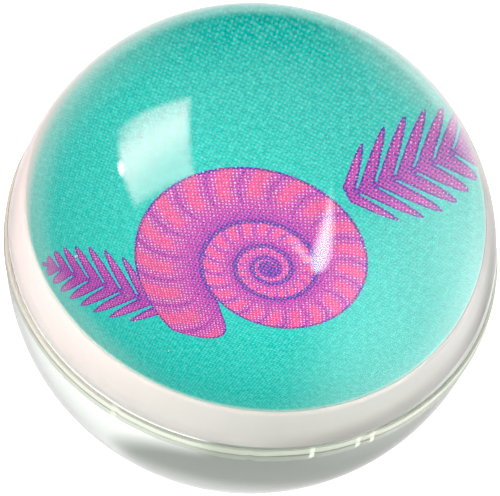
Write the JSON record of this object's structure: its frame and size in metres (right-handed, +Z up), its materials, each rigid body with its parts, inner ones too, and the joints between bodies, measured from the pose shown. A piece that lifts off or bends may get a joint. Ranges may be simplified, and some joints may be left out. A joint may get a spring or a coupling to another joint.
{
  "type": "bouncy ball",
  "caption": "Solid clear rubber ball moulded in two halves round a white core disc that carries a printed picture on each face; made to be thrown and bounced.",
  "frame": {"origin": "centre of the ball", "axes": "+Z up through the front picture, along the axis of the mould's two halves; -Y towards the picture's viewer; +X to the viewer's right; the seam lies in z = 0"},
  "size_m": [0.0454, 0.0454, 0.045],
  "materials": {
    "clear_rubber": "clear, moulded, glossy, faintly green",
    "white_rubber": "opaque white, smooth",
    "front_print": "four-colour halftone print on thin film",
    "back_print": "four-colour halftone print on thin film"
  },
  "bodies": {
    "root": {"upper_half": "clear_rubber", "lower_half": "clear_rubber", "core_disc": "white_rubber", "front_picture": "front_print", "back_picture": "back_print"}
  },
  "joints": []
}
